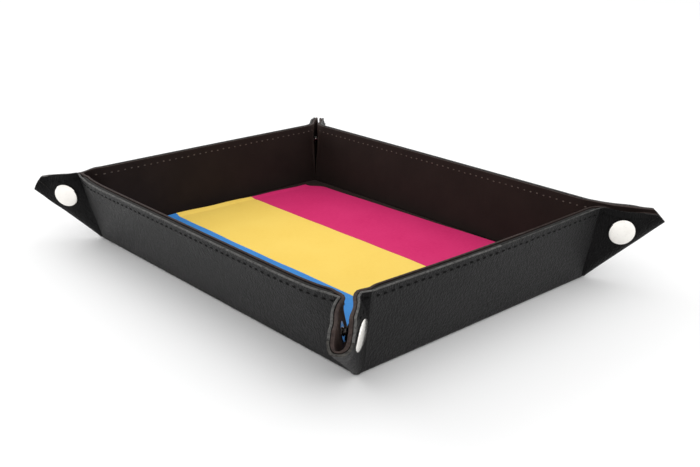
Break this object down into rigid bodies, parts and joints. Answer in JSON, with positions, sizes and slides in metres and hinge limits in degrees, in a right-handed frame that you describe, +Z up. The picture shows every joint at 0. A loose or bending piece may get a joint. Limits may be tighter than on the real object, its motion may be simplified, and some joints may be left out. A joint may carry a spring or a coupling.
{
  "type": "folding dice tray",
  "caption": "Rectangular leatherette dice tray with a striped cloth floor; its walls fold up and snap together at the corners, and open out into a flat mat.",
  "frame": {"origin": "middle of the floor's underside, on the table", "axes": "+X along the long side, -Y out through the front wall, +Z up"},
  "size_m": [0.248, 0.199, 0.037],
  "materials": {
    "leather": "black pebble grain, semi-gloss",
    "lining": "dark brown, smooth and matt",
    "board": "grey pulp board",
    "blue_cloth": "short nap, matt",
    "yellow_cloth": "short nap, matt",
    "magenta_cloth": "short nap, matt",
    "nickel": "polished nickel plate"
  },
  "bodies": {
    "floor": {"floor_leather": "leather", "floor_board": "board", "floor_lining": "lining", "blue_floor_cloth": "blue_cloth", "yellow_floor_cloth": "yellow_cloth", "magenta_floor_cloth": "magenta_cloth"},
    "front_wall": {"front_wall_leather": "leather", "front_wall_board": "board", "front_wall_lining": "lining"},
    "right_wall": {"right_wall_leather": "leather", "right_wall_board": "board", "right_wall_lining": "lining"},
    "back_wall": {"back_wall_leather": "leather", "back_wall_board": "board", "back_wall_lining": "lining"},
    "left_wall": {"left_wall_leather": "leather", "left_wall_board": "board", "left_wall_lining": "lining"},
    "front_wall_right_flap": {"front_wall_right_flap_leather": "leather", "front_wall_right_flap_lining": "lining", "front_right_snap_stud": "nickel", "front_right_snap_post": "nickel"},
    "right_wall_front_flap": {"right_wall_front_flap_leather": "leather", "right_wall_front_flap_lining": "lining", "front_right_snap_cap": "nickel", "front_right_snap_socket": "nickel"},
    "right_wall_back_flap": {"right_wall_back_flap_leather": "leather", "right_wall_back_flap_lining": "lining", "back_right_snap_cap": "nickel", "back_right_snap_socket": "nickel"},
    "back_wall_right_flap": {"back_wall_right_flap_leather": "leather", "back_wall_right_flap_lining": "lining", "back_right_snap_stud": "nickel", "back_right_snap_post": "nickel"},
    "back_wall_left_flap": {"back_wall_left_flap_leather": "leather", "back_wall_left_flap_lining": "lining", "back_left_snap_cap": "nickel", "back_left_snap_socket": "nickel"},
    "left_wall_back_flap": {"left_wall_back_flap_leather": "leather", "left_wall_back_flap_lining": "lining", "back_left_snap_stud": "nickel", "back_left_snap_post": "nickel"},
    "left_wall_front_flap": {"left_wall_front_flap_leather": "leather", "left_wall_front_flap_lining": "lining", "front_left_snap_stud": "nickel", "front_left_snap_post": "nickel"},
    "front_wall_left_flap": {"front_wall_left_flap_leather": "leather", "front_wall_left_flap_lining": "lining", "front_left_snap_cap": "nickel", "front_left_snap_socket": "nickel"}
  },
  "joints": [
    {"name": "front_wall_fold", "type": "hinge", "parent": "floor", "child": "front_wall", "pos_m": [0, -0.07215, 0.00185], "axis": [1, 0, 0], "range_deg": [0, 75]},
    {"name": "right_wall_fold", "type": "hinge", "parent": "floor", "child": "right_wall", "pos_m": [0.09815, 0, 0.00185], "axis": [0, 1, 0], "range_deg": [0, 81]},
    {"name": "back_wall_fold", "type": "hinge", "parent": "floor", "child": "back_wall", "pos_m": [0, 0.07215, 0.00185], "axis": [-1, 0, 0], "range_deg": [0, 84]},
    {"name": "left_wall_fold", "type": "hinge", "parent": "floor", "child": "left_wall", "pos_m": [-0.09815, 0, 0.00185], "axis": [0, -1, 0], "range_deg": [0, 85]},
    {"name": "front_wall_right_flap_fold", "type": "hinge", "parent": "front_wall", "child": "front_wall_right_flap", "pos_m": [0.09695, -0.07215, 0.00185], "axis": [0, -0.2588, 0.9659], "range_deg": [0, 45.96]},
    {"name": "right_wall_front_flap_fold", "type": "hinge", "parent": "right_wall", "child": "right_wall_front_flap", "pos_m": [0.09815, -0.07095, 0.00185], "axis": [-0.1564, 0, -0.9877], "range_deg": [0, 31.68]},
    {"name": "right_wall_back_flap_fold", "type": "hinge", "parent": "right_wall", "child": "right_wall_back_flap", "pos_m": [0.09815, 0.07095, 0.00185], "axis": [0.1564, 0, 0.9877], "range_deg": [0, 42.51]},
    {"name": "back_wall_right_flap_fold", "type": "hinge", "parent": "back_wall", "child": "back_wall_right_flap", "pos_m": [0.09695, 0.07215, 0.00185], "axis": [0, -0.1045, -0.9945], "range_deg": [0, 46.16]},
    {"name": "back_wall_left_flap_fold", "type": "hinge", "parent": "back_wall", "child": "back_wall_left_flap", "pos_m": [-0.09695, 0.07215, 0.00185], "axis": [0, 0.1045, 0.9945], "range_deg": [0, 46.16]},
    {"name": "left_wall_back_flap_fold", "type": "hinge", "parent": "left_wall", "child": "left_wall_back_flap", "pos_m": [-0.09815, 0.07095, 0.00185], "axis": [0.0872, 0, -0.9962], "range_deg": [0, 47.26]},
    {"name": "left_wall_front_flap_fold", "type": "hinge", "parent": "left_wall", "child": "left_wall_front_flap", "pos_m": [-0.09815, -0.07095, 0.00185], "axis": [-0.0872, 0, 0.9962], "range_deg": [0, 47.26]},
    {"name": "front_wall_left_flap_fold", "type": "hinge", "parent": "front_wall", "child": "front_wall_left_flap", "pos_m": [-0.09695, -0.07215, 0.00185], "axis": [0, 0.2588, -0.9659], "range_deg": [0, 33.45]}
  ],
  "couplings": [
    {"joint": "right_wall_fold", "follows": "front_wall_fold", "ratio": 1.08},
    {"joint": "back_wall_fold", "follows": "front_wall_fold", "ratio": 1.12},
    {"joint": "left_wall_fold", "follows": "front_wall_fold", "ratio": 1.1333},
    {"joint": "front_wall_right_flap_fold", "follows": "front_wall_fold", "ratio": 0.61278},
    {"joint": "right_wall_front_flap_fold", "follows": "front_wall_fold", "ratio": 0.42231},
    {"joint": "right_wall_back_flap_fold", "follows": "front_wall_fold", "ratio": 0.56683},
    {"joint": "back_wall_right_flap_fold", "follows": "front_wall_fold", "ratio": 0.6154},
    {"joint": "back_wall_left_flap_fold", "follows": "front_wall_fold", "ratio": 0.6154},
    {"joint": "left_wall_back_flap_fold", "follows": "front_wall_fold", "ratio": 0.63007},
    {"joint": "left_wall_front_flap_fold", "follows": "front_wall_fold", "ratio": 0.63007},
    {"joint": "front_wall_left_flap_fold", "follows": "front_wall_fold", "ratio": 0.44604}
  ]
}
